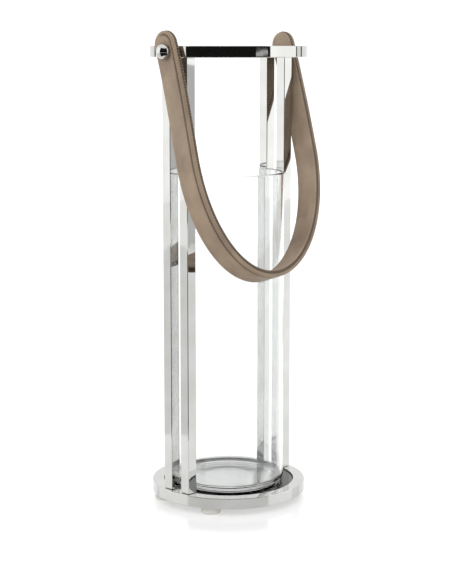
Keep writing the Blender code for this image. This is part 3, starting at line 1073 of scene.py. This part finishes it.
@dataclass
class DomedScrew:
    """Domed handle screw: a ball-like head on a skirt, a collar sunk in the leather, and its shank."""

    radius: float = 0.0075
    skirt: float = 0.0022
    height: float = 0.0088
    collar: float = 0.0064
    sunk: float = 0.0005
    under: float = 0.0005
    shank: float = 0.0030
    edge: float = 0.0004
    steps: int = 96
    dome_steps: int = 22

    def build(self, side: str, sign: float) -> bpy.types.Object:
        """Builds one screw over its CAD node.

        Formula: the head is a quarter of an ellipse on a short upright skirt, turned about its own axis,
        which is laid along X.
        """
        node = "handle_screw_" + side
        low, high = size_of(node)
        centre = (low + high) / 2
        outer = high[0] if sign > 0 else low[0]
        seat = outer - sign * self.height
        turn = np.linspace(0.0, math.pi / 2, self.dome_steps)
        dome = np.stack([self.radius * np.cos(turn),
                         self.skirt + (self.height - self.skirt) * np.sin(turn)], -1)
        dome[-1, 0] = 0.0
        end = self.height - (high[0] - low[0])
        inside = filleted([(0.0, end, 0.0), (self.shank, end, self.edge), (self.shank, -self.sunk, 0.0),
                           (self.collar, -self.sunk, self.edge * 0.75),
                           (self.collar, self.under, self.edge / 4), (self.radius, self.under, self.edge),
                           (self.radius, self.skirt, 0.0)], closed=False, support=0.00005)
        outline = np.vstack([inside, dome[1:]])
        return turned(node + "_fine", outline, self.steps,
                      stand(seat, centre[1], centre[2], sign * math.pi / 2, "Y"))


@dataclass
class LeatherHandle:
    """Stitched leather loop with its screws and bushes."""

    screw: DomedScrew = field(default_factory=DomedScrew)
    stitches: EdgeStitches = field(default_factory=EdgeStitches)

    def layers(self) -> tuple[StrapLayer, StrapLayer]:
        """Returns the outer layer, which is rolled round the edge, and the narrower lining.

        Profiles are in millimetres: inset from the edge, then depth out of the loop.
        """
        outer = StrapLayer("strap_outer_fine", (
            (13.5, 3.36), (11.0, 3.36), (8.5, 3.36), (6.5, 3.36), (5.3, 3.36), (4.4, 3.37), (3.7, 3.38),
            (3.2, 3.38), (2.7, 3.36), (2.1, 3.32), (1.5, 3.24), (0.95, 3.04), (0.50, 2.72), (0.18, 2.30),
            (0.04, 1.90), (0.14, 1.62), (0.42, 1.40), (0.46, 0.80), (0.50, 0.10), (0.62, -0.45),
            (1.1, -0.80), (2.2, -0.86), (7.0, -0.86), (13.5, -0.86)), rows=110, burnish=(0.5, -0.4),
            press=0.5, groove=4.0)
        lining = StrapLayer("strap_lining_fine", (
            (13.5, -0.98), (6.0, -0.98), (1.6, -0.98), (0.75, -1.05), (0.55, -1.35), (0.50, -2.0),
            (0.52, -2.65), (0.75, -3.12), (1.2, -3.38), (2.0, -3.48), (4.0, -3.48), (8.0, -3.48),
            (13.5, -3.48)), rows=48, burnish=(-3.2, -2.5))
        return outer, lining

    def build(self) -> None:
        """Builds and dresses the handle."""
        hinge = next(joint for joint in frame["joints"] if joint["name"] == "handle_swing")
        path = LoopPath(np.array(hinge["pos_m"]))
        outline = StrapOutline(path.total)
        outer, lining = self.layers()
        dress(outer.build(path, outline), HIDE, Slot.LEATHER, Body.HANDLE, "strap_outer", "strap_core")
        dress(lining.build(path, outline), LINING, Slot.LEATHER, Body.HANDLE, "strap_lining")
        dress(self.stitches.build(path, outline), THREAD, Slot.LEATHER, Body.HANDLE)
        for side, sign in SIDES:
            dress(self.screw.build(side, sign), KNOB_CHROME, Slot.KNOB, Body.FRAME, "handle_screw_" + side)
            bush = frame["nodes"]["handle_bush_" + side]
            bush.data.materials.clear()
            bush.data.materials.append(BRASS.material())
            LOG.info("%s: carried over", bush.name)


# ---- studio


@dataclass
class Studio:
    """White floor, soft lamps, cards that only reflections see, and the camera."""

    azimuth: float = math.radians(-45.04)
    distance: float = 1.4943
    height: float = 0.4520
    tilt: float = math.radians(9.185)
    lens_mm: float = 94.0713
    sensor_mm: float = 36.0
    card_radius: float = 2.0
    card_steps: int = 40
    floor_radius: float = 9.0
    floor_glow: float = 0.42
    world_light: float = 1.12
    aim_height: float = 0.25

    def towards_camera(self, turn: float = 0.0) -> np.ndarray:
        """Returns the level direction from the lantern to the camera, turned by an angle about Z."""
        angle = self.azimuth + turn
        return np.array([math.sin(angle), -math.cos(angle), 0.0])

    def camera(self) -> None:
        """Places the camera level with the top ring, looking slightly down."""
        lens = bpy.data.cameras.new("camera")
        lens.sensor_width = self.sensor_mm
        lens.lens = self.lens_mm
        item = in_scene("camera", lens)
        look = -self.towards_camera() * math.cos(self.tilt) - np.array([0.0, 0.0, math.sin(self.tilt)])
        item.location = self.towards_camera() * self.distance + np.array([0.0, 0.0, self.height])
        item.rotation_euler = Vector(look).to_track_quat("-Z", "Y").to_euler()
        bpy.context.scene.camera = item

    @staticmethod
    def glow(name: str, colour: str, roughness: float, light: float) -> bpy.types.Material:
        """Returns a plain material that also shines evenly, for the floor and the cards."""
        made = Finish(name, colour, roughness).material()
        set_shader(made.node_tree, {"Emission Color": WHITE, "Emission Strength": light})
        return made

    def floor(self, level: float) -> None:
        """Lays a wide white disc under the lantern, lit a little from below as a light table is."""
        bm = bmesh.new()
        bmesh.ops.create_circle(bm, cap_ends=True, segments=96, radius=self.floor_radius)
        mesh = bpy.data.meshes.new("floor")
        bm.to_mesh(mesh)
        bm.free()
        mesh.materials.append(self.glow("white_acrylic_sheet", "#c6c6c6", 0.16, self.floor_glow))
        floor = in_scene("floor", mesh)
        floor.location.z = level

    def card(self, name: str, turn: tuple[float, float], height: tuple[float, float], light: float,
             shares: tuple[float, float]) -> None:
        """Stands a curved card round the lantern, or lays it on the floor; only reflections see it.

        Args:
            name: the card's name.
            turn: where it starts and ends, in degrees from the camera's direction.
            height: heights of its lower and upper edge.
            light: brightness of its face.
            shares: how far out its two edges are, as shares of the studio's card radius.
        """
        angle = self.azimuth + np.radians(np.linspace(*turn, self.card_steps))
        radius = self.card_radius * np.array(shares)[:, None]
        grid = np.stack([radius * np.sin(angle), -radius * np.cos(angle),
                         np.broadcast_to(np.array(height)[:, None], (2, self.card_steps))], -1)
        card = surface(name, grid)
        card.data.materials.append(self.glow(name + "_cloth", "#040404", 0.95, light))
        for ray in ("camera", "diffuse", "transmission", "shadow"):
            setattr(card, "visible_" + ray, False)

    def cards(self) -> None:
        """Stands the white and grey cards, the dark flag and the strips, and lays two mats on the floor."""
        far, near, mat = (1.0, 1.0), (0.96, 0.96), (0.17, 0.99)
        on_floor = (-0.006, -0.006)
        for card in (("left_white", (-128.0, -63.0), (0.10, 1.9), 1.5, far),
                     ("right_white", (62.0, 112.0), (0.095, 1.9), 1.6, far),
                     ("dark_flag", (-62.5, 61.0), (0.05, 2.6), 0.0, far),
                     ("light_patch", (39.0, 57.0), (0.426, 0.4405), 0.62, near),
                     ("grey_card", (70.0, 88.5), (-0.006, 0.405), 0.72, near),
                     ("right_strip", (113.0, 115.5), (0.2, 1.2), 0.0, far),
                     ("right_back_strip", (127.0, 131.0), (0.2, 1.2), 0.02, far),
                     ("left_back_strip", (-134.0, -129.0), (0.2, 1.2), 0.02, far),
                     ("dark_mat", (-62.5, 61.0), on_floor, 0.0, mat),
                     ("left_mat", (-128.0, -63.0), on_floor, 0.98, mat)):
            self.card(*card)

    def lamps(self) -> None:
        """Hangs a soft lamp over the lantern and one on either side; reflections show the cards instead."""
        for name, turn, away, height, size, light in (("over", 180.0, 0.4, 2.4, 1.5, 0.55),
                                                      ("left", -62.0, 2.2, 1.5, 1.2, 0.9),
                                                      ("right", 70.0, 2.2, 1.3, 1.2, 0.5)):
            lamp = bpy.data.lights.new(name + "_lamp", "AREA")
            lamp.size = size
            lamp.energy = light * math.pi * size**2
            item = in_scene(name + "_lamp", lamp)
            item.location = self.towards_camera(math.radians(turn)) * away + np.array([0.0, 0.0, height])
            aim = Vector((0.0, 0.0, self.aim_height)) - item.location
            item.rotation_euler = aim.to_track_quat("-Z", "Y").to_euler()
            item.visible_glossy = False

    def world(self) -> None:
        """Fills the studio with even white light."""
        world = bpy.data.worlds.new("white_studio")
        world.use_nodes = True
        back = world.node_tree.nodes["Background"]
        back.inputs["Color"].default_value = WHITE
        back.inputs["Strength"].default_value = self.world_light
        bpy.context.scene.world = world

    def build(self, level: float) -> None:
        """Builds the studio on a floor at the given height."""
        bpy.context.scene.view_settings.view_transform = "Standard"
        self.world()
        self.floor(level)
        self.cards()
        self.lamps()
        self.camera()


def main() -> None:
    """Builds the studio and every sub-assembly in order."""
    logging.basicConfig(level=logging.INFO, format="%(name)s: %(message)s")
    Studio().build(size_of("foot_front_left")[0][2])
    RingFrame().build()
    GlassCylinder().build()
    LeatherHandle().build()


if __name__ == "__main__":
    main()
